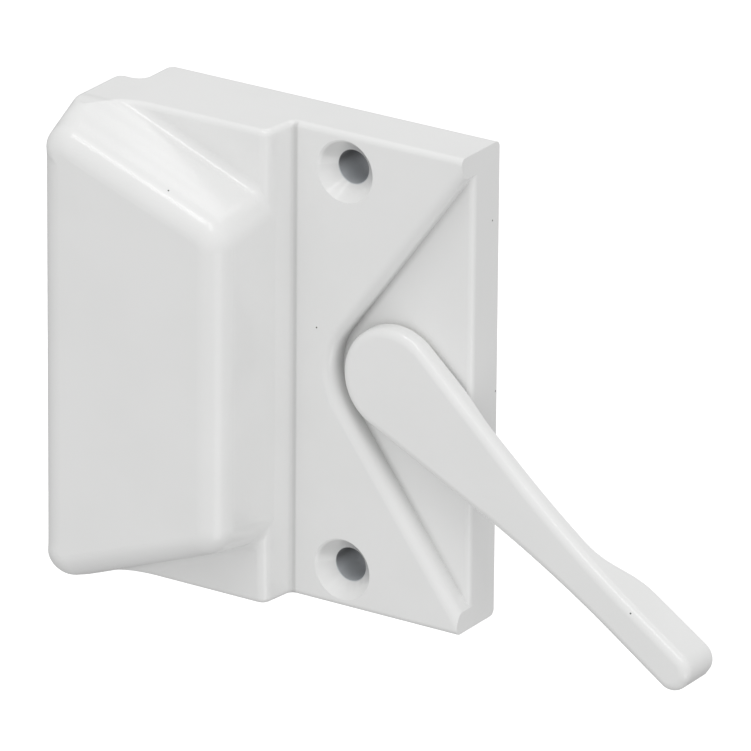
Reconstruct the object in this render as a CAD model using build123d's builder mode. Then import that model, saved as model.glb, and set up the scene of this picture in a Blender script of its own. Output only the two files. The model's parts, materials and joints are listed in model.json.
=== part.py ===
from build123d import *
import os
from math import acos, asin, atan2, cos, degrees, hypot, radians, sin, sqrt, tan

# Casement sash lock, surface mounted.
# X runs right, Z up and the room is towards -Y. The back plane, which lies on the window frame, is
# Y = 0, and the origin is midway between the two screw holes. A depth is measured forward from it.
# The lever and the hook arm turn together about an axis along Y. Angles are from +X towards +Z.

# Housing outline
hole_spacing = 60.325
hole_to_edge = 5.76
right_edge = 19.35
step_left = 8.54
step_lean = 0.76
hood_left = 40.2
overhang = 4.06
overhang_depth = 7.14

# Housing depths and walls
plate_depth = 9.84
shoulder_depth = 15.69
hood_depth = 27.6
wall = 2.0
floor_wall = 1.8

# Hood outline: how far its sloping walls lie below the housing's top, at the hood's left and right
# walls, on the shoulder and at the front. A rise is above the top, where the top cuts the wall off.
hood_root_left_rise = 2.6
hood_root_right_drop = 10.0
hood_front_left_drop = 0.9
hood_front_right_drop = 11.9
hood_right_lean = 0.24
hood_corner_radius = 5.0
hood_root_corner_radius = 1.2
hood_front_corner_radius = 4.5
hood_edge_radius = 3.8

# Other housing edges
shoulder_radius = 1.6
step_root_radius = 0.7
notch_radius = 1.5
recess_edge_radius = 1.6
rim_radius = 0.9

# Screw holes and their bosses
screw_hole_radius = 2.5
countersink_radius = 4.65
countersink_angle = 84
screw_boss_radius = 5.4

# Recess, lever pivot and the mouth for the keeper
pivot_x = 7.5
recess_corner_drop = 3.23
recess_point_radius = 9.6
mouth_half_height = 26.0

# Lever
lever_angle = -34.0
lever_limit = 36.0
hub_radius = 8.0
hub_gap = 0.5
hub_thickness = 2.6
tip_rise = 1.65
lever_length = 60.5
grip_half_width = 3.0
taper_end = 35.0
waist_radius = 180.0
shank_start = 16.0
shank_lift = 0.72
grip_start = 36.0
grip_end = 48.0
grip_drop = 2.9
grip_corner_radius = 2.6
lever_edge_radius = 1.4
lever_back_edge_radius = 0.3

# Spindle and the washers on it
journal_radius = 3.0
tail_radius = 2.0
tail_end = 0.3
groove_radius = 1.5
flat_half_width = 2.3
insert_radius = 4.6
insert_length = 1.3
insert_half_width = 3.6
running_clearance = 0.05
fit_gap = 0.02
bush_wall = 1.2
bush_flange_radius = 5.6
bush_flange = 0.5
friction_washer_radius = 7.2
spring_height = 0.5
spring_stock = 0.25
spring_radius = 5.2
retaining_washer_radius = 4.2
retaining_washer_stock = 0.3
clip_stock = 0.4
clip_gap = 0.2
clip_radius = 3.6
clip_rim = 1.0
clip_mouth = 2.7
clip_tab_width = 1.2

# Hook arm and its cam head
arm_stock = 1.8
arm_hub_radius = 7.0
arm_half_width = 4.5
tip_half_width = 4.0
crank_lead = 1.0
crank_run = 5.5
blade_back = 11.2
bend_radius = 2.4
tip_corner_radius = 1.5
head_length = 9.0
head_setback = 2.0
head_height = 4.5
head_ramp = 1.8
rivet_radius = 1.0
rivet_head_radius = 1.7
rivet_head_height = 0.6
rivet_head_rim = 0.15
rivet_pitch = 4.4

# Back plate, posts and bumpers
back_plate_stock = 0.9
back_plate_inset = 0.15
back_plate_margin = 3.6
post_radius = 2.0
right_post_inset = 6.15
right_post_z = 11.5
stop_post_distance = 20.0
bumper_wall = 0.9
bumper_length = 4.0
bumper_gap = 0.3
cover_screw_radius = 0.9
cover_screw_head_radius = 1.8
cover_screw_length = 4.5
cover_screw_slot = 0.5

# Worked out from the sizes above
half_height = hole_spacing / 2 + hole_to_edge
base_left = hood_left - overhang
hood_root_left = half_height + hood_root_left_rise
hood_root_right = half_height - hood_root_right_drop
hood_front_left = half_height - hood_front_left_drop
hood_front_right = half_height - hood_front_right_drop
recess_end = hypot(right_edge - pivot_x, half_height - recess_corner_drop)
recess_end_angle = degrees(atan2(half_height - recess_corner_drop, right_edge - pivot_x))
recess_half_angle = recess_end_angle - degrees(asin(recess_point_radius / recess_end))
arm_angle = lever_angle + 180
hood_base = shoulder_depth - wall
right_post_x = right_edge - right_post_inset
blade_front = blade_back + arm_stock

# Depths of the pieces stacked on the spindle, from the back plate to the recess and the lever
back_plate_front = back_plate_inset + back_plate_stock
clip_back = back_plate_front + clip_gap
washer_back = clip_back + clip_stock
arm_back = washer_back + retaining_washer_stock
arm_front = arm_back + arm_stock
bush_back = arm_front + spring_height + running_clearance
floor_back = bush_back + bush_flange
recess_depth = floor_back + floor_wall
hub_back = recess_depth + hub_gap
hub_front = hub_back + hub_thickness
tip_front = hub_front + tip_rise
shank_back = hub_back + shank_lift
grip_back = hub_back - grip_drop
bush_radius = journal_radius + running_clearance + bush_wall

# Places of the stop posts, the crank and the rivets
bumper_radius = post_radius + fit_gap + bumper_wall
stop_reach = arm_half_width + bumper_radius + bumper_gap
stop_angle = 180 - lever_limit - degrees(asin(stop_reach / stop_post_distance))
stop_x = pivot_x + stop_post_distance * cos(radians(stop_angle))
stop_z = stop_post_distance * sin(radians(stop_angle))
hood_inner_reach = pivot_x + step_left + step_lean + wall + arm_half_width * sin(radians(lever_limit))
crank_start = hood_inner_reach / cos(radians(lever_limit)) - crank_lead
crank_end = crank_start + crank_run
arm_length = crank_end + head_setback + head_length
rivet_middle = arm_length - head_length / 2
rivet_spots = [(rivet_middle - rivet_pitch / 2, 0), (rivet_middle + rivet_pitch / 2, 0)]
posts = [(stop_x, stop_z), (stop_x, -stop_z), (right_post_x, right_post_z), (right_post_x, -right_post_z)]


def level(depth):
    """A plane parallel to the back at this depth, with X right and Z up."""
    return Plane.XZ.offset(depth)


def turned_level(angle, depth):
    """A plane at this depth with its origin on the pivot and its x outwards at this angle."""
    outwards = Vector(cos(radians(angle)), 0, sin(radians(angle)))
    return Plane(origin=(pivot_x, -depth, 0), x_dir=outwards, z_dir=(0, -1, 0))


def side_plane(angle):
    """The upright plane through the pivot at this angle: x outwards, y is the depth."""
    outwards = Vector(cos(radians(angle)), 0, sin(radians(angle)))
    across = Vector(sin(radians(angle)), 0, -cos(radians(angle)))
    return Plane(origin=(pivot_x, 0, 0), x_dir=outwards, z_dir=across)


def step_x(depth):
    """X of the leaning step wall between the plate and the shoulder."""
    share = (depth - plate_depth) / (shoulder_depth - plate_depth)
    return -step_left - step_lean * share


def body_section(inset):
    """The housing without its hood seen from above, with its walls moved in by inset."""
    with BuildSketch(Plane.XY, mode=Mode.PRIVATE) as section:
        with BuildLine():
            Polyline(
                (right_edge - inset, 0),
                (right_edge - inset, inset - plate_depth),
                (-step_left - inset, inset - plate_depth),
                (-step_left - step_lean - inset, inset - shoulder_depth),
                (inset - hood_left, inset - shoulder_depth),
                (inset - hood_left, -overhang_depth),
                (inset - base_left, -overhang_depth),
                (inset - base_left, 0),
                close=True,
            )
        make_face()
    return section.sketch


def hood_outline(depth, inset, left_radius):
    """The hood's outline at a depth, with its walls moved in by inset and its corners rounded."""
    rise = (depth - shoulder_depth) / (hood_depth - shoulder_depth)
    lean = hood_right_lean * (depth - hood_base) / (hood_depth - hood_base)
    left = inset - hood_left
    right = step_x(hood_base) - lean - inset
    left_z = hood_root_left + rise * (hood_front_left - hood_root_left)
    right_z = hood_root_right + rise * (hood_front_right - hood_root_right)
    slope = (left_z - right_z) / (right - left)
    drop = inset * sqrt(1 + slope**2)
    left_z -= drop
    right_z -= drop
    with BuildSketch(level(depth), mode=Mode.PRIVATE) as outline:
        with BuildLine():
            Polyline((left, -left_z), (right, -right_z), (right, right_z), (left, left_z), close=True)
        make_face()
        fillet(outline.vertices().group_by(Axis.X)[-1], hood_corner_radius - inset)
        fillet(outline.vertices().group_by(Axis.X)[0], left_radius)
    return outline.sketch


def recess_outline(depth, margin):
    """The V recess at a depth: a round point about the pivot and two straight walls to the right."""
    radius = recess_point_radius + margin
    opening = radians(recess_half_angle)
    start_x = pivot_x - radius * sin(opening)
    start_z = radius * cos(opening)
    reach = right_edge + wall - start_x
    with BuildSketch(level(depth), mode=Mode.PRIVATE) as outline:
        with Locations((pivot_x, 0)):
            Circle(radius)
        with BuildLine():
            Polyline(
                (start_x, start_z),
                (start_x + reach, start_z + reach * tan(opening)),
                (start_x + reach, -start_z - reach * tan(opening)),
                (start_x, -start_z),
                close=True,
            )
        make_face()
    return outline.sketch


def lever_outline():
    """The lever seen from the front: a round hub, a tapered shank and a square end."""
    reach = hypot(taper_end, grip_half_width)
    touch = atan2(grip_half_width, taper_end) + acos(hub_radius / reach)
    touch_x = hub_radius * cos(touch)
    touch_y = hub_radius * sin(touch)
    with BuildSketch(turned_level(lever_angle, 0), mode=Mode.PRIVATE) as outline:
        with BuildLine():
            Polyline(
                (touch_x, touch_y),
                (taper_end, grip_half_width),
                (lever_length, grip_half_width),
                (lever_length, -grip_half_width),
                (taper_end, -grip_half_width),
                (touch_x, -touch_y),
                close=True,
            )
        make_face()
        fillet(outline.vertices().group_by(Axis.X)[1], waist_radius)
        Circle(hub_radius)
    return outline.sketch


def disc(depth, radius):
    """A disc about the pivot, drawn at this depth."""
    with BuildSketch(turned_level(0, depth), mode=Mode.PRIVATE) as outline:
        Circle(radius)
    return outline.sketch


def ring(depth, outer, inner):
    """A flat ring about the pivot, drawn at this depth."""
    with BuildSketch(turned_level(0, depth), mode=Mode.PRIVATE) as outline:
        Circle(outer)
        Circle(inner, mode=Mode.SUBTRACT)
    return outline.sketch


def flatted_disc(angle, depth, radius, half_width):
    """A disc about the pivot with two flats along this angle, drawn at this depth."""
    with BuildSketch(turned_level(angle, depth), mode=Mode.PRIVATE) as outline:
        Circle(radius)
        Rectangle(2 * radius, 2 * half_width, mode=Mode.INTERSECT)
    return outline.sketch


def on_depth(edge, depth):
    """Whether an edge lies in the plane at this depth."""
    box = edge.bounding_box()
    return abs(box.min.Y + depth) < 0.01 and abs(box.max.Y + depth) < 0.01


def on_end_face(edge):
    """Whether an edge lies in the housing's top or bottom face."""
    return edge.bounding_box().size.Z < 0.01 and abs(abs(edge.center().Z) - half_height) < 0.01


def on_lever_back(edge):
    """Whether an edge lies on the rim of the lever's back."""
    lever_plan = turned_level(lever_angle, 0)
    middle = lever_plan.to_local_coords(edge.center())
    reach = abs(lever_plan.to_local_coords(edge @ 0).X - lever_plan.to_local_coords(edge @ 1).X)
    crosses = 0 < middle.X < lever_length - 0.1 and reach < 0.01
    return middle.Z < shank_back + 0.05 and not crosses


# Hood: drafted walls, cut off level with the plate's top and bottom
with BuildPart() as hood:
    add(hood_outline(hood_base, 0, hood_root_corner_radius))
    add(hood_outline(hood_depth, 0, hood_front_corner_radius))
    loft(ruled=True)
    fillet(hood.faces().sort_by(Axis.Y)[0].edges(), hood_edge_radius)
    split(bisect_by=Plane.XY.offset(half_height), keep=Keep.BOTTOM)
    split(bisect_by=Plane.XY.offset(-half_height), keep=Keep.TOP)

with BuildPart() as hood_hollow:
    add(hood_outline(hood_base - wall, wall, hood_root_corner_radius))
    add(hood_outline(hood_depth - wall, wall, hood_front_corner_radius - wall))
    loft(ruled=True)
    split(bisect_by=Plane.XY.offset(half_height - wall), keep=Keep.BOTTOM)
    split(bisect_by=Plane.XY.offset(wall - half_height), keep=Keep.TOP)

# Core of the casting: its open back, the hood's hollow and the mouth on the left for the keeper,
# less the floor behind the recess, the screw bosses and the posts
with BuildPart() as core:
    extrude(body_section(wall), amount=half_height - wall, both=True)
    add(hood_hollow.part)
    extrude(recess_outline(floor_back, wall), amount=plate_depth, mode=Mode.SUBTRACT)
    with BuildSketch(level(0)):
        with Locations((0, hole_spacing / 2), (0, -hole_spacing / 2)):
            Circle(screw_boss_radius)
    extrude(amount=plate_depth, mode=Mode.SUBTRACT)
    with BuildSketch(level(back_plate_front)):
        with Locations(*posts):
            Circle(post_radius)
    extrude(amount=plate_depth, mode=Mode.SUBTRACT)
    with BuildSketch(level(0)):
        with Locations((wall / 2 - base_left, 0)):
            Rectangle(2 * wall, 2 * mouth_half_height)
    extrude(amount=overhang_depth + fit_gap)

# Housing: one casting with the plate, the step, the hood, the recess and the posts inside
with BuildPart() as housing:
    with BuildSketch(Plane.XY) as outer_section:
        add(body_section(0))
        notch = outer_section.vertices().filter_by(lambda v: v.X < 1 - base_left and v.Y > -overhang_depth - 1)
        fillet(notch, notch_radius)
    extrude(amount=half_height, both=True)
    add(hood.part)

    # Rounded step and hood root
    shoulder = housing.edges().filter_by(lambda e: on_depth(e, shoulder_depth) and not on_end_face(e))
    fillet(shoulder.filter_by(lambda e: e.center().X > 1 - hood_left), shoulder_radius)
    plate_edges = housing.edges().filter_by(lambda e: on_depth(e, plate_depth))
    fillet(plate_edges.filter_by(lambda e: abs(e.center().X + step_left) < 0.01), step_root_radius)

    # Recess for the lever, with soft edges
    extrude(recess_outline(recess_depth, 0), amount=plate_depth, mode=Mode.SUBTRACT)
    plate_edges = housing.edges().filter_by(lambda e: on_depth(e, plate_depth) and not on_end_face(e))
    fillet(plate_edges.filter_by(lambda e: 2 - step_left < e.center().X < right_edge - 0.1), recess_edge_radius)
    floor_edges = housing.edges().filter_by(lambda e: on_depth(e, recess_depth))
    fillet(floor_edges.filter_by(lambda e: e.center().X > right_edge - 0.1), rim_radius)
    front_rim = housing.edges().filter_by(lambda e: on_end_face(e) and e.center().Y < 0.05 - plate_depth)
    fillet(front_rim.filter_by(lambda e: e.center().X > 0.05 - hood_left), rim_radius)

    add(core.part, mode=Mode.SUBTRACT)

    # Screw holes, the hole for the bush and the pilot holes in the posts
    with Locations(level(plate_depth)):
        with Locations((0, hole_spacing / 2), (0, -hole_spacing / 2)):
            CounterSinkHole(screw_hole_radius, countersink_radius, counter_sink_angle=countersink_angle)
    extrude(disc(0, bush_radius + fit_gap), amount=plate_depth, mode=Mode.SUBTRACT)
    with BuildSketch(level(back_plate_front)):
        with Locations(*posts):
            Circle(cover_screw_radius + running_clearance)
    extrude(amount=cover_screw_length - back_plate_stock + fit_gap, mode=Mode.SUBTRACT)

# Lever: its side profile and its plan met in one solid, so that the grip is thick and the hub thin
with BuildPart() as handle:
    with BuildSketch(side_plane(lever_angle)):
        with BuildLine():
            Line((-hub_radius, hub_back), (-hub_radius, hub_front))
            Line((-hub_radius, hub_front), (lever_length, tip_front))
            Line((lever_length, tip_front), (lever_length, grip_back))
            Line((lever_length, grip_back), (grip_end, grip_back))
            Spline((grip_end, grip_back), (grip_start, shank_back), tangents=((-1, 0), (-1, 0)))
            Line((grip_start, shank_back), (shank_start, shank_back))
            Spline((shank_start, shank_back), (hub_radius, hub_back), tangents=((-1, 0), (-1, 0)))
            Line((hub_radius, hub_back), (-hub_radius, hub_back))
        make_face()
    extrude(amount=hub_radius, both=True)
    extrude(lever_outline(), amount=hood_depth, mode=Mode.INTERSECT)
    tip_corners = handle.edges().filter_by(Axis.Y).filter_by(
        lambda e: (e.center() - Vector(pivot_x, e.center().Y, 0)).length > lever_length - 0.1
    )
    fillet(tip_corners, grip_corner_radius)
    fillet(handle.faces().sort_by(Axis.Y)[0].edges(), lever_edge_radius)
    back_edges = handle.edges().filter_by(Axis.Y, reverse=True).filter_by(on_lever_back)
    fillet(back_edges, lever_back_edge_radius)
    insert_seat = flatted_disc(lever_angle, hub_back, insert_radius + fit_gap, insert_half_width + fit_gap)
    extrude(insert_seat, amount=insert_length + fit_gap, mode=Mode.SUBTRACT)

# Spindle: a head with two flats in the hub, the journal, flats for the arm and a grooved tail
with BuildPart() as spindle:
    extrude(flatted_disc(lever_angle, hub_back, insert_radius, insert_half_width), amount=insert_length)
    extrude(disc(arm_front, journal_radius), amount=hub_back - arm_front)
    extrude(flatted_disc(arm_angle, arm_back, journal_radius, flat_half_width), amount=arm_stock)
    extrude(disc(tail_end, tail_radius), amount=arm_back - tail_end)
    chamfer(spindle.edges().sort_by(Axis.Y)[-1], tail_end / 2)
    extrude(ring(clip_back, 2 * tail_radius, groove_radius), amount=clip_stock, mode=Mode.SUBTRACT)

# Bearings and washers on the spindle
with BuildPart() as friction_washer:
    washer_face = ring(recess_depth + running_clearance, friction_washer_radius, journal_radius + fit_gap)
    extrude(washer_face, amount=hub_back - recess_depth - running_clearance)

with BuildPart() as spindle_bush:
    extrude(ring(bush_back, bush_flange_radius, journal_radius + running_clearance), amount=bush_flange)
    extrude(ring(bush_back, bush_radius, journal_radius + running_clearance), amount=recess_depth - bush_back)

with BuildPart() as disc_spring:
    with BuildSketch(side_plane(0)):
        inner = journal_radius + fit_gap
        with BuildLine():
            Polyline(
                (inner, arm_front),
                (spring_radius, arm_front + spring_height - spring_stock),
                (spring_radius, arm_front + spring_height),
                (inner, arm_front + spring_stock),
                close=True,
            )
        make_face()
    revolve(axis=Axis((pivot_x, 0, 0), (0, 1, 0)))

with BuildPart() as retaining_washer:
    washer_face = ring(washer_back, retaining_washer_radius, tail_radius + fit_gap)
    extrude(washer_face, amount=retaining_washer_stock)

with BuildPart() as retaining_clip:
    with BuildSketch(turned_level(arm_angle, clip_back)):
        Circle(clip_radius)
        Circle(clip_radius - clip_rim, mode=Mode.SUBTRACT)
        tab_length = clip_radius - clip_rim / 2 - groove_radius
        with PolarLocations(groove_radius + tab_length / 2, 3, start_angle=-90, angular_range=180):
            Rectangle(tab_length, clip_tab_width)
        with Locations((-clip_radius, 0)):
            Rectangle(2 * clip_radius, clip_mouth, mode=Mode.SUBTRACT)
        Circle(groove_radius + fit_gap, mode=Mode.SUBTRACT)
    extrude(amount=clip_stock)

# Hook arm: a pressed strip, cranked forward into the hood and keyed on the spindle's flats
with BuildPart() as hook_arm:
    with BuildSketch(side_plane(arm_angle)):
        with BuildLine() as spine:
            FilletPolyline(
                (-arm_hub_radius, arm_back + arm_stock / 2),
                (crank_start, arm_back + arm_stock / 2),
                (crank_end, blade_back + arm_stock / 2),
                (arm_length, blade_back + arm_stock / 2),
                radius=bend_radius,
            )
        trace(spine.line, line_width=arm_stock)
    extrude(amount=arm_hub_radius, both=True)
    with BuildSketch(turned_level(arm_angle, 0)) as arm_plan:
        with BuildLine():
            Polyline(
                (0, arm_half_width),
                (crank_start, arm_half_width),
                (crank_end, tip_half_width),
                (arm_length, tip_half_width),
                (arm_length, -tip_half_width),
                (crank_end, -tip_half_width),
                (crank_start, -arm_half_width),
                (0, -arm_half_width),
                close=True,
            )
        make_face()
        fillet(arm_plan.vertices().group_by(Axis.X)[-1], tip_corner_radius)
        Circle(arm_hub_radius)
    extrude(amount=hood_depth, mode=Mode.INTERSECT)
    key_hole = flatted_disc(arm_angle, 0, journal_radius + fit_gap, flat_half_width + fit_gap)
    extrude(key_hole, amount=arm_front + wall, mode=Mode.SUBTRACT)
    with BuildSketch(turned_level(arm_angle, 0)):
        with Locations(*rivet_spots):
            Circle(rivet_radius + fit_gap)
    extrude(amount=hood_depth, mode=Mode.SUBTRACT)

# Cam head on the arm's tip, with a ramp on both sides
with BuildPart() as hook_head:
    with BuildSketch(turned_level(arm_angle, blade_front)):
        with Locations((rivet_middle, 0)):
            Rectangle(head_length, 2 * tip_half_width)
    extrude(amount=head_height)
    head_top = hook_head.faces().sort_by(Axis.Y)[0]
    ramp_edges = head_top.edges().filter_by(lambda e: abs(e.length - head_length) < 0.01)
    chamfer(ramp_edges, head_ramp, 2 * head_ramp)
    with BuildSketch(turned_level(arm_angle, blade_front)):
        with Locations(*rivet_spots):
            Circle(rivet_radius + fit_gap)
    extrude(amount=head_height, mode=Mode.SUBTRACT)


def hook_rivet(spot):
    """A rivet with cone-shaped heads through the head and the arm, at this spot along the arm."""
    with BuildPart() as rivet:
        for depth, length, radius in (
            (blade_back, arm_stock + head_height, rivet_radius),
            (blade_back - rivet_head_height, rivet_head_height, rivet_head_radius),
            (blade_front + head_height, rivet_head_height, rivet_head_radius),
        ):
            with BuildSketch(turned_level(arm_angle, depth)):
                with Locations(spot):
                    Circle(radius)
            extrude(amount=length)
        ends = rivet.faces().sort_by(Axis.Y)
        chamfer(ends[0].edges() + ends[-1].edges(), rivet_head_height - rivet_head_rim)
    return rivet.part


def stop_bumper(x, z):
    """A rubber sleeve on one of the two posts that end the arm's travel."""
    with BuildPart() as bumper:
        with BuildSketch(level(back_plate_front + running_clearance)):
            with Locations((x, z)):
                Circle(bumper_radius)
                Circle(post_radius + fit_gap, mode=Mode.SUBTRACT)
        extrude(amount=bumper_length)
    return bumper.part


def cover_screw(x, z):
    """A small slotted countersunk screw through the back plate into a post."""
    with BuildPart() as screw:
        with BuildSketch(level(back_plate_inset)):
            with Locations((x, z)):
                Circle(cover_screw_head_radius)
        with BuildSketch(level(back_plate_front)):
            with Locations((x, z)):
                Circle(cover_screw_radius)
        loft()
        with BuildSketch(level(back_plate_inset)):
            with Locations((x, z)):
                Circle(cover_screw_radius)
        extrude(amount=cover_screw_length)
        with BuildSketch(level(back_plate_inset)):
            with Locations((x, z)):
                Rectangle(2 * cover_screw_head_radius, cover_screw_slot)
        extrude(amount=cover_screw_slot, mode=Mode.SUBTRACT)
    return screw.part


# Back plate: pressed cover over the arm's hub, screwed to the four posts
with BuildPart() as back_plate:
    with BuildSketch(level(back_plate_inset)):
        with BuildLine():
            Polyline(posts[0], posts[2], posts[3], posts[1], close=True)
        make_face()
        offset(amount=back_plate_margin)
        with Locations((pivot_x, 0)):
            Circle(tail_radius + running_clearance, mode=Mode.SUBTRACT)
    extrude(amount=back_plate_stock)
    with Locations(Plane(origin=(0, -back_plate_inset, 0), x_dir=(1, 0, 0), z_dir=(0, 1, 0))):
        with Locations(*[(x, -z) for x, z in posts]):
            sink = degrees(atan2(cover_screw_head_radius - cover_screw_radius, back_plate_stock)) * 2
            CounterSinkHole(
                cover_screw_radius + fit_gap, cover_screw_head_radius + fit_gap, counter_sink_angle=sink
            )

pieces = {
    "housing": housing.part,
    "handle": handle.part,
    "spindle": spindle.part,
    "friction_washer": friction_washer.part,
    "spindle_bush": spindle_bush.part,
    "disc_spring": disc_spring.part,
    "hook_arm": hook_arm.part,
    "hook_head": hook_head.part,
    "hook_rivet_1": hook_rivet(rivet_spots[0]),
    "hook_rivet_2": hook_rivet(rivet_spots[1]),
    "retaining_washer": retaining_washer.part,
    "retaining_clip": retaining_clip.part,
    "back_plate": back_plate.part,
    "stop_bumper_1": stop_bumper(*posts[0]),
    "stop_bumper_2": stop_bumper(*posts[1]),
}
for number, post in enumerate(posts, start=1):
    pieces[f"back_plate_screw_{number}"] = cover_screw(*post)

os.makedirs("parts", exist_ok=True)
for name, piece in pieces.items():
    piece.label = name
    export_step(piece, f"parts/{name}.step")
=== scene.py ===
"""Casement sash lock: finishes, floor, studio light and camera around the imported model."""

import json
from math import cos, pi, radians, sin

import bmesh
import bpy
from mathutils import Matrix, Vector


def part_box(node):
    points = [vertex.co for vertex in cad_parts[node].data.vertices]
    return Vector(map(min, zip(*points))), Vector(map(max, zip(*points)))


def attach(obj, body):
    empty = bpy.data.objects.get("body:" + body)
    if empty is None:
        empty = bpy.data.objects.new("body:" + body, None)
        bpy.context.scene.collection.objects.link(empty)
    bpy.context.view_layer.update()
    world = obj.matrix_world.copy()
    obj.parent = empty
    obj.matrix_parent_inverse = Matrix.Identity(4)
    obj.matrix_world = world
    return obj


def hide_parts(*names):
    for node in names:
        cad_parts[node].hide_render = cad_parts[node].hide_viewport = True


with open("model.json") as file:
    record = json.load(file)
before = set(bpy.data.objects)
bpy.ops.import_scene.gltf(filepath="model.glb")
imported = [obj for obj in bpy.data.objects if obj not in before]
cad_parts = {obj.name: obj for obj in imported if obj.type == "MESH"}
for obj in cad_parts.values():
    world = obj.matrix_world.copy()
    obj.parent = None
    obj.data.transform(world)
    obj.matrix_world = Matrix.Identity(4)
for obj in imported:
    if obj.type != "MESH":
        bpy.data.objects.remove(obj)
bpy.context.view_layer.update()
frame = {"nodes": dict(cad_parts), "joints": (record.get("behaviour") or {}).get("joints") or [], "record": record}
nodes = frame["nodes"]

MM = 0.001

# Camera: the photograph's viewing angle, found from the housing's edges, and how far the middle of
# the picture lies from the origin
PHOTO_SIDE_PX = 751
FOCAL_PX = 10427.0
SENSOR_MM = 36.0
AZIMUTH = radians(32.84)
ELEVATION = radians(21.64)
ROLL = radians(0.474)
CAMERA_DISTANCE = 1477.66 * MM
AIM_RIGHT = -0.84 * MM
AIM_UP = -3.48 * MM

# Places on the lock that a finish needs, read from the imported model
housing_low, housing_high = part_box("housing")
HINGE = next(joint for joint in frame["joints"] if joint["name"] == "lever_turn")
PIVOT = Vector(HINGE["pos_m"])
FRAME_SCREWS = next(mount for mount in frame["record"]["mounts"] if mount["name"] == "frame_screws")
SCREW_HEIGHT = FRAME_SCREWS["dims"]["spacing_y_mm"] / 2 * MM
SCREW_HOLE_RADIUS = FRAME_SCREWS["dims"]["hole_r_mm"] * MM

# The V recess: its floor, and its walls, which run at a tangent to a circle round the pivot
RECESS_FLOOR = -6.6 * MM
RECESS_POINT_RADIUS = 9.6 * MM
RECESS_HALF_ANGLE = radians(54.05)
RECESS_POINT_FADE = (-1 * MM, 1 * MM)
RECESS_RIGHT_FADE = (housing_high.x - 1.6 * MM, housing_high.x - 0.9 * MM)

# Painted shade where the recess's wall meets its floor: its density, its width, how far it rises
# above the floor, and the part of it that is lost along the wall from the hub outwards
RECESS_SHADE = 0.24
RECESS_SHADE_WIDTH = 1.1 * MM
RECESS_SHADE_RISE = (RECESS_FLOOR - 1.9 * MM, RECESS_FLOOR - 0.1 * MM)
RECESS_SHADE_LOSS = 0.65
RECESS_SHADE_LOSS_ALONG = (6 * MM, 34 * MM)

# The trace of painted shade on the wall itself: its density, where it sets in and ends across the
# wall, and where it ends along it
WALL_SHADE = 0.08
WALL_SHADE_SETS_IN = (-0.2 * MM, 0.0)
WALL_SHADE_ENDS = (0.2 * MM, 1.5 * MM)
WALL_SHADE_ENDS_ALONG = (2 * MM, 20 * MM)

# Slight waves across the hood's sloping ends, and where they fade out
HOOD_WAVE_CREST = -21.6 * MM
HOOD_WAVE_LENGTH = 3.6 * MM
HOOD_WAVE_DEPTH = 0.11 * MM
HOOD_WAVE_FADE_HEIGHT = (21 * MM, 26 * MM)
HOOD_WAVE_FADE_BACK = (-17.6 * MM, -16.0 * MM)
HOOD_WAVE_FADE_RIGHT = (-18 * MM, -13.5 * MM)

# The root of the step between the plate and the shoulder, and the painted shade in it
STEP_ROOT_X = -8.25 * MM
STEP_ROOT_Y = -10.1 * MM
STEP_SHADE = 0.26
STEP_SHADE_ACROSS = (0.1 * MM, 0.5 * MM)
STEP_SHADE_IN_DEPTH = (0.3 * MM, 0.9 * MM)

# The countersinks, with painted shade in the upper part of each cone, which faces down
COUNTERSINK_RADIUS = 4.65 * MM
SINK_SHADE = 0.25
SINK_SHADE_EDGE = (COUNTERSINK_RADIUS - 0.5 * MM, COUNTERSINK_RADIUS - 0.1 * MM)
SINK_SHADE_RISE = (-1.5 * MM, 3 * MM)

# The bores: bare zinc that the paint hardly reaches, with painted shade in the upper half and towards the back
BARE_EDGE = (SCREW_HOLE_RADIUS + 0.02 * MM, SCREW_HOLE_RADIUS + 0.10 * MM)
BARE_RISE = (-1.6 * MM, 1.0 * MM)
BARE_BACK = (-6 * MM, 0.0)
BARE_SHADE_BACK = 0.5
BARE_ROUGHER = 0.35

# Specks of dirt in the paint, each with a dark core and a soft edge
SPECK_RADIUS = 0.15 * MM
SPECK_CORE = 0.09 * MM
HOUSING_SPECKS = [
    (-19.38 * MM, -25.22 * MM, 28.04 * MM),
    (-4.58 * MM, -9.84 * MM, 5.75 * MM),
    (19.35 * MM, -1.65 * MM, 24.42 * MM),
    (19.35 * MM, -0.30 * MM, -1.70 * MM),
]
HANDLE_SPECKS = [(48.70 * MM, -10.87 * MM, -25.03 * MM)]

# The rivets' domed heads and shanks, and the grid that they are turned from
RIVET_HEAD_HEIGHT = 0.6 * MM
RIVET_SHANK_RADIUS = 1.0 * MM
RIVET_STEPS_ROUND = 48
RIVET_STEPS_ALONG = 24
RIVET_MERGE_DISTANCE = 0.001 * MM

# Floor, below the lock and far wider than it
FLOOR_DROP = 0.25
FLOOR_HALF = 6.0
FLOOR_GLOW = 0.45

# Surroundings: their strength, how much brighter they are towards the right, the front and the top,
# and how much darker below, where a direction points down by more than this share
AROUND = 0.61
BRIGHTER_RIGHT = 0.05
BRIGHTER_FRONT = 0.15
BRIGHTER_TOP = 0.18
DARKER_BELOW = 0.16
BELOW_SETS_IN = 0.55

# The soft lights' distance from the lock
LIGHT_DISTANCE = 1.2


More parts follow.
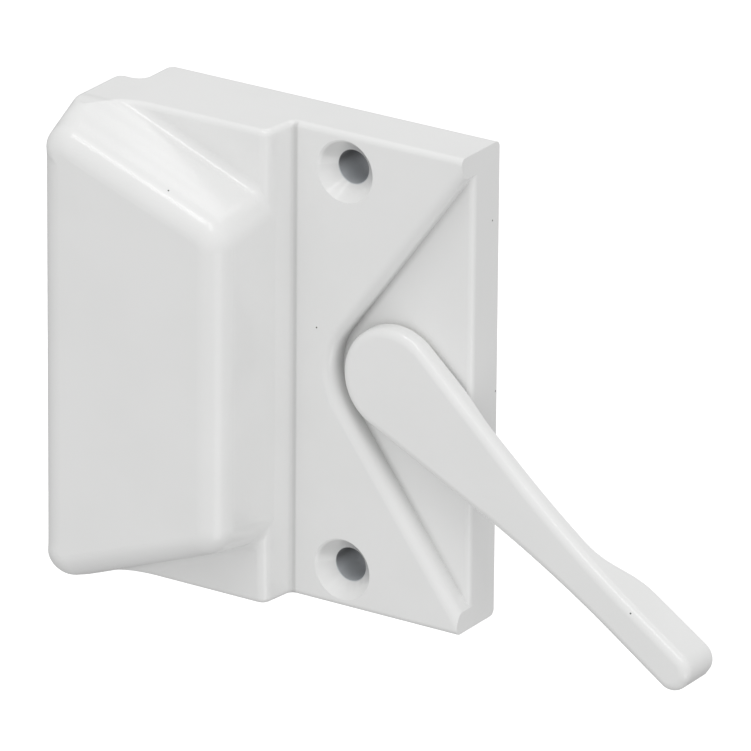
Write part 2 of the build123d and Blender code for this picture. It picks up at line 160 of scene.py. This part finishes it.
class Value:
    """A socket of a node tree that takes part in Python arithmetic."""

    def __init__(self, owner, socket):
        self.owner = owner
        self.socket = socket

    def maths(self, operation, *others):
        return self.owner.node("ShaderNodeMath", {"operation": operation}, (self, *others))

    def __add__(self, other):
        return self.maths("ADD", other)

    def __radd__(self, other):
        return self.maths("ADD", other)

    def __sub__(self, other):
        return self.maths("SUBTRACT", other)

    def __rsub__(self, other):
        return self.owner.node("ShaderNodeMath", {"operation": "SUBTRACT"}, (other, self))

    def __mul__(self, other):
        return self.maths("MULTIPLY", other)

    def __rmul__(self, other):
        return self.maths("MULTIPLY", other)

    def __truediv__(self, other):
        return self.maths("DIVIDE", other)

    def __rtruediv__(self, other):
        return self.owner.node("ShaderNodeMath", {"operation": "DIVIDE"}, (other, self))

    def __pow__(self, other):
        return self.maths("POWER", other)

    def smooth(self, low, high):
        """0 below low and 1 above high, with a soft step between them."""
        settings = {"interpolation_type": "SMOOTHSTEP"}
        return self.owner.node("ShaderNodeMapRange", settings, (self, low, high, 0.0, 1.0))


class NodeTree:
    """A node tree, with one method that makes any of its nodes."""

    def __init__(self, tree):
        self.tree = tree

    def node(self, kind, settings, inputs, output=0):
        """Makes any node: its settings first, then the values or links of its sockets."""
        made = self.tree.nodes.new(kind)
        for name, value in settings.items():
            setattr(made, name, value)
        named = inputs.items() if isinstance(inputs, dict) else enumerate(inputs)
        for key, value in named:
            if isinstance(value, Value):
                self.tree.links.new(value.socket, made.inputs[key])
            elif value is not None:
                made.inputs[key].default_value = value
        return Value(self, made.outputs[output])


class GeometryTree(NodeTree):
    """A Geometry Nodes tree with named inputs, whose result is kept as a plain mesh."""

    def __init__(self, name, **sizes):
        super().__init__(bpy.data.node_groups.new(name, "GeometryNodeTree"))
        face = self.tree.interface
        face.new_socket("Geometry", in_out="INPUT", socket_type="NodeSocketGeometry")
        face.new_socket("Geometry", in_out="OUTPUT", socket_type="NodeSocketGeometry")
        self.sizes = {}
        for size, value in sizes.items():
            socket = face.new_socket(size, in_out="INPUT", socket_type="NodeSocketFloat")
            self.sizes[socket.identifier] = value
        self.entry = self.tree.nodes.new("NodeGroupInput")

    def given(self, name):
        """One of the tree's named inputs."""
        return Value(self, self.entry.outputs[name])

    def set_on_points(self, shape, material):
        """Ends the tree: the shape on each point, as real faces with this material."""
        points = self.given("Geometry")
        placed = self.node("GeometryNodeInstanceOnPoints", {}, {"Points": points, "Instance": shape})
        joined = self.node("GeometryNodeRealizeInstances", {}, (placed,))
        dressed = self.node("GeometryNodeSetMaterial", {}, {"Geometry": joined, "Material": material})
        leave = self.tree.nodes.new("NodeGroupOutput")
        self.tree.links.new(dressed.socket, leave.inputs["Geometry"])

    def made(self, name, points):
        """One plain object, which the finished tree makes from these points."""
        piece = bpy.data.objects.new(name, bpy.data.meshes.new(name + "_points"))
        piece.data.from_pydata(points, [], [])
        bpy.context.scene.collection.objects.link(piece)
        modifier = piece.modifiers.new(name, "NODES")
        modifier.node_group = self.tree
        for identifier, value in self.sizes.items():
            modifier[identifier] = value
        bpy.context.view_layer.update()
        evaluated = piece.evaluated_get(bpy.context.evaluated_depsgraph_get())
        mesh = bpy.data.meshes.new_from_object(evaluated)
        piece.modifiers.remove(modifier)
        piece.data = mesh

        # Set Material leaves an empty slot in front of its own
        if mesh.materials[0] is None:
            mesh.materials.pop(index=0)
        outwards = bmesh.new()
        outwards.from_mesh(mesh)
        bmesh.ops.recalc_face_normals(outwards, faces=outwards.faces)
        outwards.to_mesh(mesh)
        outwards.free()
        return piece


class Finish(NodeTree):
    """A procedural material on the Principled shader, read in the lock's own coordinates."""

    def __init__(self, name, **constants):
        self.material = bpy.data.materials.new(name)
        self.material.use_nodes = True
        super().__init__(self.material.node_tree)
        self.shader = self.tree.nodes["Principled BSDF"]
        for socket, value in constants.items():
            self.shader.inputs[socket.replace("_", " ")].default_value = value
        self.place = self.node("ShaderNodeTexCoord", {}, (), output="Object")

    def noise(self, size, detail=2.0, roughness=0.5, squeeze=None):
        """Soft noise from 0 to 1 with features of this size in metres, drawn out where squeeze is under 1."""
        place = self.place
        if squeeze:
            place = self.node("ShaderNodeVectorMath", {"operation": "MULTIPLY"}, (place, squeeze))
        inputs = {"Vector": place, "Scale": 1 / size, "Detail": detail, "Roughness": roughness}
        return self.node("ShaderNodeTexNoise", {}, inputs, output="Fac")

    def axis(self, letter):
        """One coordinate of the point, in metres."""
        return self.node("ShaderNodeSeparateXYZ", {}, (self.place,), output=letter)

    def distance_to(self, point):
        """The distance from a point of the lock, in metres."""
        settings = {"operation": "DISTANCE"}
        return self.node("ShaderNodeVectorMath", settings, (self.place, point), output="Value")

    def mix(self, factor, under, over):
        """A colour between two colours, through the sockets that the Mix node keeps for colours."""
        first_colour = 6
        second_colour = 7
        mixed_colour = 2
        settings = {"data_type": "RGBA", "clamp_factor": True}
        inputs = {"Factor": factor, first_colour: under, second_colour: over}
        return self.node("ShaderNodeMix", settings, inputs, output=mixed_colour)

    def bump(self, height, depth, under=None):
        """A Bump node: height runs from 0 to 1 and depth is the relief in metres."""
        inputs = {"Height": height, "Distance": depth, "Strength": 1.0, "Normal": under}
        return self.node("ShaderNodeBump", {}, inputs, output="Normal")

    def feed(self, **links):
        """Links values into the shader's sockets."""
        for socket, value in links.items():
            self.tree.links.new(value.socket, self.shader.inputs[socket.replace("_", " ")])
        return self.material


def rgb(red, green, blue):
    return (red, green, blue, 1.0)


class Enamel(Finish):
    """Gloss white paint on a casting: faint orange peel, thickness changes and slight waves."""

    def __init__(self, name):
        super().__init__(name, IOR=1.5, Coat_Roughness=0.1, Coat_IOR=1.5)
        thin = rgb(0.865, 0.868, 0.862)
        thick = rgb(0.880, 0.882, 0.877)
        thickness = self.noise(14 * MM, detail=3.0)
        self.colour = self.mix(thickness.smooth(0.35, 0.65), thin, thick)
        self.roughness = 0.30 + 0.06 * self.noise(3 * MM)
        self.coat = 0.35 + 0.1 * thickness
        peel = self.noise(0.9 * MM, detail=1.0)
        wave = self.noise(7 * MM, detail=1.0)
        self.relief = self.bump(peel, 0.004 * MM, self.bump(wave, 0.02 * MM))

    def specks(self, places):
        """Small dark specks of dirt caught in the paint."""
        dirt = rgb(0.03, 0.03, 0.03)
        for place in places:
            on_speck = 1 - self.distance_to(place).smooth(SPECK_CORE, SPECK_RADIUS)
            self.colour = self.mix(on_speck, self.colour, dirt)

    def paint_shade(self, mask, density):
        """Painted shade: darkens the paint by this share where the mask is 1."""
        self.colour = self.mix(mask * density, self.colour, rgb(0.05, 0.05, 0.045))

    def painted(self):
        return self.feed(
            Base_Color=self.colour, Roughness=self.roughness, Coat_Weight=self.coat, Normal=self.relief)


class HousingEnamel(Enamel):
    """The housing's paint. Both halves are alike, so most masks use the height from the middle."""

    def __init__(self):
        super().__init__("housing_enamel")
        self.x, self.y, self.z = (self.axis(letter) for letter in "XYZ")
        self.height = self.z.maths("ABSOLUTE")

    def hood_waves(self):
        """Slight waves in the surface of the hood's sloping ends, away from the round corner in front."""
        phase = (self.y - HOOD_WAVE_CREST) * (2 * pi / HOOD_WAVE_LENGTH)
        wave = 0.5 + 0.5 * phase.maths("COSINE")
        on_slope = self.height.smooth(*HOOD_WAVE_FADE_HEIGHT) * (1 - self.y.smooth(*HOOD_WAVE_FADE_BACK))
        clear_of_corner = 1 - self.x.smooth(*HOOD_WAVE_FADE_RIGHT)
        self.relief = self.bump(wave * on_slope * clear_of_corner, HOOD_WAVE_DEPTH, self.relief)

    def recess_shade(self):
        """Painted shade in the crease round the recess's floor, darkest near the hub, and a trace on the wall."""
        across = self.x - PIVOT.x
        beside_wall = self.height * cos(RECESS_HALF_ANGLE) - across * sin(RECESS_HALF_ANGLE)
        along_wall = self.height * sin(RECESS_HALF_ANGLE) + across * cos(RECESS_HALF_ANGLE)
        from_pivot = (across * across + self.height * self.height) ** 0.5
        round_point = 1 - along_wall.smooth(*RECESS_POINT_FADE)
        past_wall = beside_wall + (from_pivot - beside_wall) * round_point - RECESS_POINT_RADIUS
        inside = 1 - self.x.smooth(*RECESS_RIGHT_FADE)

        in_crease = 1 - past_wall.maths("ABSOLUTE").smooth(0.0, RECESS_SHADE_WIDTH)
        near_floor = self.y.smooth(*RECESS_SHADE_RISE)
        near_hub = 1 - RECESS_SHADE_LOSS * along_wall.smooth(*RECESS_SHADE_LOSS_ALONG)
        self.paint_shade(in_crease * near_floor * near_hub * inside, RECESS_SHADE)

        on_wall = past_wall.smooth(*WALL_SHADE_SETS_IN) * (1 - past_wall.smooth(*WALL_SHADE_ENDS))
        beside_hub = 1 - along_wall.smooth(*WALL_SHADE_ENDS_ALONG)
        self.paint_shade(on_wall * beside_hub * inside, WALL_SHADE)

    def step_shade(self):
        """Painted shade in the root of the step."""
        across_root = 1 - (self.x - STEP_ROOT_X).maths("ABSOLUTE").smooth(*STEP_SHADE_ACROSS)
        near_root = 1 - (self.y - STEP_ROOT_Y).maths("ABSOLUTE").smooth(*STEP_SHADE_IN_DEPTH)
        self.paint_shade(across_root * near_root, STEP_SHADE)

    def screw_holes(self):
        """Painted shade in the tops of the countersinks, and bare zinc in the bores, with painted shade in their
        upper halves and towards the back.
        """
        from_screw = self.height - SCREW_HEIGHT
        radius = (self.x * self.x + from_screw * from_screw) ** 0.5
        rise = self.z - self.z.maths("SIGN") * SCREW_HEIGHT
        in_sink = 1 - radius.smooth(*SINK_SHADE_EDGE)
        self.paint_shade(in_sink * rise.smooth(*SINK_SHADE_RISE), SINK_SHADE)

        # Painted shade: the bore's zinc goes darker in its upper half and towards the back
        shaded_zinc = rgb(0.16, 0.16, 0.165)
        bright_zinc = rgb(0.66, 0.69, 0.72)
        in_bore = 1 - radius.smooth(*BARE_EDGE)
        lower_half = 1 - rise.smooth(*BARE_RISE)
        towards_front = 1 - BARE_SHADE_BACK * self.y.smooth(*BARE_BACK)
        zinc = self.mix(lower_half * towards_front, shaded_zinc, bright_zinc)
        self.colour = self.mix(in_bore, self.colour, zinc)
        self.coat = self.coat * (1 - in_bore)
        self.roughness = self.roughness + BARE_ROUGHER * in_bore


def housing_enamel():
    """The housing's paint with all its marks: waves, painted shade in creases and countersinks, bare bores with
    painted shade, and specks.
    """
    paint = HousingEnamel()
    paint.hood_waves()
    paint.recess_shade()
    paint.step_shade()
    paint.screw_holes()
    paint.specks(HOUSING_SPECKS)
    return paint.painted()


def handle_enamel():
    """The lever's paint, with its own speck."""
    paint = Enamel("handle_enamel")
    paint.specks(HANDLE_SPECKS)
    return paint.painted()


def plated_steel():
    """Bright zinc plate on pressed steel: rolled grain, a fine tumbled surface and faint patches."""
    finish = Finish("zinc_plate", Metallic=1.0)
    cool = rgb(0.62, 0.64, 0.66)
    warm = rgb(0.67, 0.665, 0.645)
    patch = finish.noise(5 * MM, detail=4.0, roughness=0.6)
    tumbled = finish.noise(0.3 * MM, detail=3.0)
    rolled = finish.noise(0.35 * MM, squeeze=(1.0, 1.0, 0.04))
    colour = finish.mix(patch.smooth(0.3, 0.7), cool, warm)
    roughness = 0.24 + 0.10 * tumbled + 0.10 * rolled
    relief = finish.bump(rolled, 0.006 * MM, finish.bump(tumbled, 0.003 * MM))
    return finish.feed(Base_Color=colour, Roughness=roughness, Normal=relief)


def turned_steel():
    """Bright steel with the fine rings that a lathe leaves round the pivot's axis."""
    finish = Finish("turned_steel", Metallic=1.0, Base_Color=rgb(0.60, 0.60, 0.61))
    across = finish.axis("X") - PIVOT.x
    up = finish.axis("Z") - PIVOT.z
    radius = (across * across + up * up) ** 0.5
    settings = {"noise_dimensions": "1D"}
    rings = finish.node("ShaderNodeTexWhiteNoise", settings, {"W": radius}, output="Value")
    return finish.feed(Roughness=0.22 + 0.12 * rings)


def spring_steel():
    """Blued spring steel, browner in patches."""
    finish = Finish("blued_steel", Metallic=1.0)
    blue = rgb(0.13, 0.15, 0.20)
    brown = rgb(0.22, 0.20, 0.22)
    patch = finish.noise(2 * MM)
    colour = finish.mix(patch.smooth(0.3, 0.7), blue, brown)
    return finish.feed(Base_Color=colour, Roughness=0.3 + 0.15 * patch)


def nylon():
    """Natural nylon, slightly cloudy."""
    finish = Finish("nylon", Subsurface_Weight=0.2, IOR=1.53)
    cream = rgb(0.76, 0.73, 0.65)
    milky = rgb(0.83, 0.81, 0.74)
    cloud = finish.noise(1.5 * MM)
    return finish.feed(Base_Color=finish.mix(cloud, cream, milky), Roughness=0.42 + 0.1 * cloud)


def rubber():
    """Matt black rubber with a trace of grey bloom."""
    finish = Finish("black_rubber", IOR=1.5)
    black = rgb(0.020, 0.020, 0.021)
    grey = rgb(0.050, 0.050, 0.050)
    bloom = finish.noise(1.2 * MM, detail=3.0)
    colour = finish.mix(bloom.smooth(0.4, 0.8), black, grey)
    return finish.feed(Base_Color=colour, Roughness=0.7 + 0.15 * bloom, Normal=finish.bump(bloom, 0.01 * MM))


def hook_rivets(material):
    """The two domed rivets that hold the hook's head on its arm, one shape turned round the rivet's axis."""
    rivets = ("hook_rivet_1", "hook_rivet_2")
    corners = [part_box(rivet) for rivet in rivets]
    low, high = corners[0]
    tree = GeometryTree(
        "domed_rivet", head_radius=(high.x - low.x) / 2, length=high.y - low.y,
        head_height=RIVET_HEAD_HEIGHT, shank_radius=RIVET_SHANK_RADIUS)

    # A flat unit grid round zero: one side of it goes round the rivet, and the other from end to end
    counts = {"Vertices X": RIVET_STEPS_ROUND + 1, "Vertices Y": RIVET_STEPS_ALONG + 1}
    grid = tree.node("GeometryNodeMeshGrid", {}, {"Size X": 1.0, "Size Y": 1.0, **counts})
    place = tree.node("GeometryNodeInputPosition", {}, ())
    round_axis = (tree.node("ShaderNodeSeparateXYZ", {}, (place,), output="X") + 0.5) * (2 * pi)
    along = 2 * tree.node("ShaderNodeSeparateXYZ", {}, (place,), output="Y")
    from_middle = along.maths("ABSOLUTE")

    # From the middle to an end: the shank to a quarter of the way, the head's flat underside to a
    # third, and then the dome
    shank_end = 1 / 4
    dome_start = 1 / 3
    in_head = from_middle.maths("GREATER_THAN", (shank_end + dome_start) / 2)
    dome_angle = (1 - from_middle) * (pi / 2 / (1 - dome_start))
    shoulder = tree.given("length") / 2 - tree.given("head_height")
    head_level = shoulder + tree.given("head_height") * dome_angle.maths("COSINE")
    shank_level = shoulder * (from_middle / shank_end)
    level = head_level * in_head + shank_level * (1 - in_head)
    head_radius = tree.given("head_radius") * dome_angle.maths("SINE")
    radius = head_radius * in_head + tree.given("shank_radius") * (1 - in_head)

    turned = tree.node("ShaderNodeCombineXYZ", {}, (
        radius * round_axis.maths("COSINE"), level * along.maths("SIGN"), radius * round_axis.maths("SINE")))
    lathed = tree.node("GeometryNodeSetPosition", {}, {"Geometry": grid, "Position": turned})
    merging = {"Geometry": lathed, "Distance": RIVET_MERGE_DISTANCE}
    closed = tree.node("GeometryNodeMergeByDistance", {}, merging)
    smooth = tree.node("GeometryNodeSetShadeSmooth", {}, {"Geometry": closed, "Shade Smooth": True})
    tree.set_on_points(smooth, material)

    points = [(Vector(low) + Vector(high)) / 2 for low, high in corners]
    piece = tree.made("domed_hook_rivets", points)
    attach(piece, "lever")
    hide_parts(*rivets)


def pale_floor():
    """A wide pale floor below the lock, bright enough to read as white paper."""
    level = housing_low.z - FLOOR_DROP
    sides = ((-1, -1), (1, -1), (1, 1), (-1, 1))
    corners = [(x * FLOOR_HALF, y * FLOOR_HALF, level) for x, y in sides]
    mesh = bpy.data.meshes.new("floor")
    mesh.from_pydata(corners, [], [(0, 1, 2, 3)])
    floor = bpy.data.objects.new("floor", mesh)
    bpy.context.scene.collection.objects.link(floor)
    paper = Finish(
        "floor_paper", Base_Color=rgb(0.9, 0.9, 0.9), Roughness=0.9, Specular_IOR_Level=0.0,
        Emission_Color=rgb(1, 1, 1), Emission_Strength=FLOOR_GLOW)
    mesh.materials.append(paper.material)
    floor.visible_diffuse = False
    floor.visible_glossy = False
    floor.visible_shadow = False


def softbox(name, direction, size, power):
    """A rectangular soft light that faces the lock from this direction."""
    light = bpy.data.lights.new(name, "AREA")
    light.shape = "RECTANGLE"
    light.size, light.size_y = size
    light.energy = power
    lamp = bpy.data.objects.new(name, light)
    away = Vector(direction).normalized()
    facing = away.to_track_quat("Z", "Y").to_matrix().to_4x4()
    lamp.matrix_world = Matrix.Translation(away * LIGHT_DISTANCE) @ facing
    bpy.context.scene.collection.objects.link(lamp)


def surroundings():
    """Soft white surroundings, brighter above and in front and darker right below."""
    world = bpy.data.worlds.new("studio")
    world.use_nodes = True
    backdrop = world.node_tree.nodes["Background"]
    backdrop.inputs["Color"].default_value = rgb(1, 1, 1)
    around = NodeTree(world.node_tree)
    direction = around.node("ShaderNodeTexCoord", {}, (), output="Generated")
    x, y, z = (around.node("ShaderNodeSeparateXYZ", {}, (direction,), output=letter) for letter in "XYZ")
    below = (0 - z).smooth(BELOW_SETS_IN, 1.0)
    strength = AROUND + BRIGHTER_RIGHT * x - BRIGHTER_FRONT * y + BRIGHTER_TOP * z - DARKER_BELOW * below
    world.node_tree.links.new(strength.socket, backdrop.inputs["Strength"])
    bpy.context.scene.world = world


def studio():
    """The surroundings, two lights overhead in front, a wide one behind and one low at the right."""
    surroundings()
    softbox("hood_light", direction=(-0.035, -0.30, 0.95), size=(0.20, 0.32), power=1.0)
    softbox("lever_light", direction=(0.32, -0.35, 0.88), size=(0.25, 0.60), power=1.5)
    softbox("back_light", direction=(0.06, 0.52, 0.85), size=(0.90, 0.28), power=0.9)
    softbox("fill_light", direction=(0.70, -0.40, -0.55), size=(0.60, 0.60), power=1.5)


def photo_camera():
    """The camera of the photograph, on the lock's own axes."""
    outwards = Vector((sin(AZIMUTH) * cos(ELEVATION), -cos(AZIMUTH) * cos(ELEVATION), sin(ELEVATION)))
    level = Vector((cos(AZIMUTH), sin(AZIMUTH), 0))
    raised = outwards.cross(level)
    right = cos(ROLL) * level + sin(ROLL) * raised
    up = cos(ROLL) * raised - sin(ROLL) * level
    camera = bpy.data.cameras.new("photo_camera")
    camera.sensor_width = SENSOR_MM
    camera.lens = FOCAL_PX / PHOTO_SIDE_PX * SENSOR_MM
    camera.clip_end = 20
    viewer = bpy.data.objects.new("photo_camera", camera)
    viewer.matrix_world = Matrix((right, up, outwards)).transposed().to_4x4()
    viewer.location = AIM_RIGHT * right + AIM_UP * up + CAMERA_DISTANCE * outwards
    bpy.context.scene.collection.objects.link(viewer)
    bpy.context.scene.camera = viewer


# One finish for each material slot of the record, apart from the lever, which has its own coat
finishes = {
    "white_paint": housing_enamel(),
    "zinc_plated_steel": plated_steel(),
    "bright_steel": turned_steel(),
    "spring_steel": spring_steel(),
    "nylon": nylon(),
    "black_rubber": rubber(),
}
for subpart in frame["record"]["subparts"]:
    mesh = nodes[subpart["node"]].data
    mesh.materials.clear()
    mesh.materials.append(finishes[subpart["material_slot"]])
nodes["handle"].data.materials[0] = handle_enamel()

hook_rivets(finishes["bright_steel"])
pale_floor()
studio()
photo_camera()
bpy.context.scene.view_settings.view_transform = "Standard"
